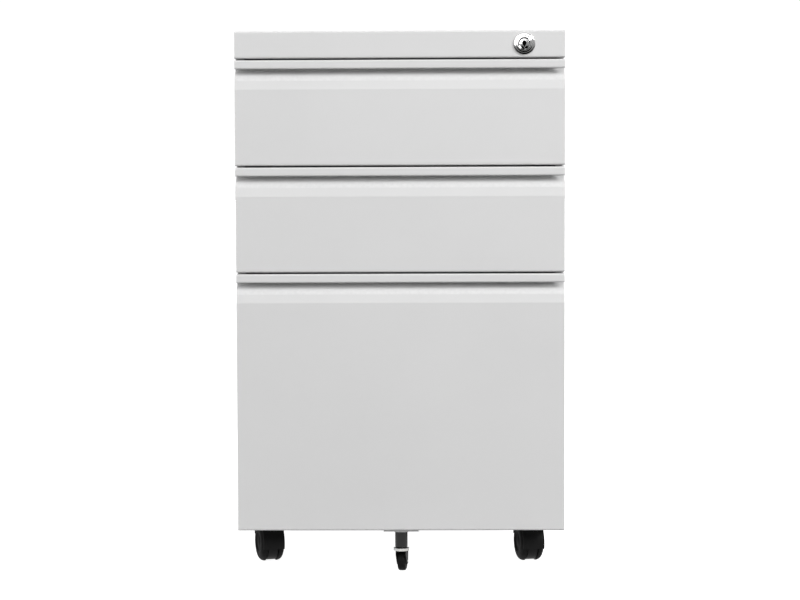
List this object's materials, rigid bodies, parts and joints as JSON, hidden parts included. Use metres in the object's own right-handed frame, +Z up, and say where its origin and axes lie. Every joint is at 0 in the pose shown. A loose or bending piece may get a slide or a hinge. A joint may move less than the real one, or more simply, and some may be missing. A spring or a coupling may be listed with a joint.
{
  "type": "mobile pedestal filing cabinet",
  "caption": "Mobile steel pedestal filing cabinet with box drawers over a file drawer, full-width recessed pulls, a central lock and swivel castors.",
  "frame": {"origin": "on the floor, under the middle of the body", "axes": "+Z up, drawers open towards -Y, +X to the right as seen from the front"},
  "size_m": [0.39, 0.503, 0.65],
  "materials": {
    "powder_coat": "fine matt powder coat, light grey",
    "zinc_plated_steel": "bright zinc plate",
    "chrome_plate": "polished chrome",
    "black_nylon": "satin moulded",
    "rubber": "soft matt"
  },
  "bodies": {
    "cabinet": {"top_cover": "powder_coat", "left_side_panel": "powder_coat", "right_side_panel": "powder_coat", "back_panel": "powder_coat", "base_pan": "powder_coat", "left_upright": "powder_coat", "right_upright": "powder_coat", "cabinet_screws": "zinc_plated_steel", "front_bumpers": "rubber", "top_drawer_outer_slides": "zinc_plated_steel", "middle_drawer_outer_slides": "zinc_plated_steel", "file_drawer_outer_slides": "zinc_plated_steel", "lock_housing": "chrome_plate", "lock_nut": "zinc_plated_steel", "lock_bar_guides": "black_nylon", "castor_plates": "zinc_plated_steel"},
    "top_drawer": {"top_drawer_front": "powder_coat", "top_drawer_backing_pan": "powder_coat", "top_drawer_tray": "powder_coat", "top_drawer_inner_slides": "zinc_plated_steel", "top_drawer_screws": "zinc_plated_steel"},
    "top_drawer_middle_slides": {"top_drawer_middle_slides": "zinc_plated_steel"},
    "middle_drawer": {"middle_drawer_front": "powder_coat", "middle_drawer_backing_pan": "powder_coat", "middle_drawer_tray": "powder_coat", "middle_drawer_inner_slides": "zinc_plated_steel", "middle_drawer_screws": "zinc_plated_steel"},
    "middle_drawer_middle_slides": {"middle_drawer_middle_slides": "zinc_plated_steel"},
    "file_drawer": {"file_drawer_front": "powder_coat", "file_drawer_backing_pan": "powder_coat", "file_drawer_tray": "powder_coat", "file_drawer_inner_slides": "zinc_plated_steel", "file_drawer_screws": "zinc_plated_steel", "hanging_file_rails": "powder_coat", "fifth_castor_bracket": "powder_coat", "fifth_castor_spacer": "black_nylon", "fifth_castor_kingpin": "zinc_plated_steel"},
    "file_drawer_middle_slides": {"file_drawer_middle_slides": "zinc_plated_steel"},
    "lock_plug": {"lock_plug": "chrome_plate", "lock_cam": "zinc_plated_steel"},
    "lock_bar": {"lock_bar": "zinc_plated_steel"},
    "front_left_castor": {"front_left_castor_hood": "black_nylon", "front_left_castor_axle": "zinc_plated_steel"},
    "front_left_castor_left_wheel": {"front_left_castor_left_wheel": "black_nylon"},
    "front_left_castor_right_wheel": {"front_left_castor_right_wheel": "black_nylon"},
    "front_right_castor": {"front_right_castor_hood": "black_nylon", "front_right_castor_axle": "zinc_plated_steel"},
    "front_right_castor_left_wheel": {"front_right_castor_left_wheel": "black_nylon"},
    "front_right_castor_right_wheel": {"front_right_castor_right_wheel": "black_nylon"},
    "rear_left_castor": {"rear_left_castor_hood": "black_nylon", "rear_left_castor_axle": "zinc_plated_steel"},
    "rear_left_castor_left_wheel": {"rear_left_castor_left_wheel": "black_nylon"},
    "rear_left_castor_right_wheel": {"rear_left_castor_right_wheel": "black_nylon"},
    "rear_right_castor": {"rear_right_castor_hood": "black_nylon", "rear_right_castor_axle": "zinc_plated_steel"},
    "rear_right_castor_left_wheel": {"rear_right_castor_left_wheel": "black_nylon"},
    "rear_right_castor_right_wheel": {"rear_right_castor_right_wheel": "black_nylon"},
    "fifth_castor": {"fifth_castor_fork": "black_nylon", "fifth_castor_axle": "zinc_plated_steel"},
    "fifth_castor_wheel": {"fifth_castor_wheel": "black_nylon"}
  },
  "joints": [
    {"name": "top_drawer_slide", "type": "slide", "parent": "cabinet", "child": "top_drawer", "axis": [0, -1, 0], "range_m": [0, 0.4]},
    {"name": "top_drawer_middle_slides_slide", "type": "slide", "parent": "cabinet", "child": "top_drawer_middle_slides", "axis": [0, -1, 0], "range_m": [0, 0.2]},
    {"name": "middle_drawer_slide", "type": "slide", "parent": "cabinet", "child": "middle_drawer", "axis": [0, -1, 0], "range_m": [0, 0.4]},
    {"name": "middle_drawer_middle_slides_slide", "type": "slide", "parent": "cabinet", "child": "middle_drawer_middle_slides", "axis": [0, -1, 0], "range_m": [0, 0.2]},
    {"name": "file_drawer_slide", "type": "slide", "parent": "cabinet", "child": "file_drawer", "axis": [0, -1, 0], "range_m": [0, 0.4]},
    {"name": "file_drawer_middle_slides_slide", "type": "slide", "parent": "cabinet", "child": "file_drawer_middle_slides", "axis": [0, -1, 0], "range_m": [0, 0.2]},
    {"name": "lock_turn", "type": "hinge", "parent": "cabinet", "child": "lock_plug", "pos_m": [0.147, -0.25, 0.634], "axis": [0, -1, 0], "range_deg": [0, 90]},
    {"name": "lock_bar_lift", "type": "slide", "parent": "cabinet", "child": "lock_bar", "axis": [0, 0, 1], "range_m": [0, 0.01131]},
    {"name": "front_left_castor_swivel", "type": "hinge", "parent": "cabinet", "child": "front_left_castor", "pos_m": [-0.161, -0.15, 0.045], "axis": [0, 0, 1], "continuous": true},
    {"name": "front_left_castor_left_wheel_roll", "type": "hinge", "parent": "front_left_castor", "child": "front_left_castor_left_wheel", "pos_m": [-0.16539, -0.13565, 0.024], "axis": [0.9563, 0.2924, 0], "continuous": true},
    {"name": "front_left_castor_right_wheel_roll", "type": "hinge", "parent": "front_left_castor", "child": "front_left_castor_right_wheel", "pos_m": [-0.16539, -0.13565, 0.024], "axis": [0.9563, 0.2924, 0], "continuous": true},
    {"name": "front_right_castor_swivel", "type": "hinge", "parent": "cabinet", "child": "front_right_castor", "pos_m": [0.161, -0.15, 0.045], "axis": [0, 0, 1], "continuous": true},
    {"name": "front_right_castor_left_wheel_roll", "type": "hinge", "parent": "front_right_castor", "child": "front_right_castor_left_wheel", "pos_m": [0.15788, -0.13533, 0.024], "axis": [0.9781, 0.2079, 0], "continuous": true},
    {"name": "front_right_castor_right_wheel_roll", "type": "hinge", "parent": "front_right_castor", "child": "front_right_castor_right_wheel", "pos_m": [0.15788, -0.13533, 0.024], "axis": [0.9781, 0.2079, 0], "continuous": true},
    {"name": "rear_left_castor_swivel", "type": "hinge", "parent": "cabinet", "child": "rear_left_castor", "pos_m": [-0.161, 0.195, 0.045], "axis": [0, 0, 1], "continuous": true},
    {"name": "rear_left_castor_left_wheel_roll", "type": "hinge", "parent": "rear_left_castor", "child": "rear_left_castor_left_wheel", "pos_m": [-0.16463, 0.20955, 0.024], "axis": [0.9703, 0.2419, 0], "continuous": true},
    {"name": "rear_left_castor_right_wheel_roll", "type": "hinge", "parent": "rear_left_castor", "child": "rear_left_castor_right_wheel", "pos_m": [-0.16463, 0.20955, 0.024], "axis": [0.9703, 0.2419, 0], "continuous": true},
    {"name": "rear_right_castor_swivel", "type": "hinge", "parent": "cabinet", "child": "rear_right_castor", "pos_m": [0.161, 0.195, 0.045], "axis": [0, 0, 1], "continuous": true},
    {"name": "rear_right_castor_left_wheel_roll", "type": "hinge", "parent": "rear_right_castor", "child": "rear_right_castor_left_wheel", "pos_m": [0.16613, 0.2091, 0.024], "axis": [0.9397, -0.342, 0], "continuous": true},
    {"name": "rear_right_castor_right_wheel_roll", "type": "hinge", "parent": "rear_right_castor", "child": "rear_right_castor_right_wheel", "pos_m": [0.16613, 0.2091, 0.024], "axis": [0.9397, -0.342, 0], "continuous": true},
    {"name": "fifth_castor_swivel", "type": "hinge", "parent": "file_drawer", "child": "fifth_castor", "pos_m": [0, -0.224, 0.026], "axis": [0, 0, 1], "continuous": true},
    {"name": "fifth_castor_wheel_roll", "type": "hinge", "parent": "fifth_castor", "child": "fifth_castor_wheel", "pos_m": [0.00125, -0.2161, 0.0135], "axis": [0.9877, -0.1564, 0], "continuous": true}
  ],
  "couplings": [
    {"joint": "top_drawer_middle_slides_slide", "follows": "top_drawer_slide", "ratio": 0.5},
    {"joint": "middle_drawer_middle_slides_slide", "follows": "middle_drawer_slide", "ratio": 0.5},
    {"joint": "file_drawer_middle_slides_slide", "follows": "file_drawer_slide", "ratio": 0.5},
    {"joint": "lock_turn", "follows": "lock_bar_lift", "rad_per_m": 138.84}
  ]
}
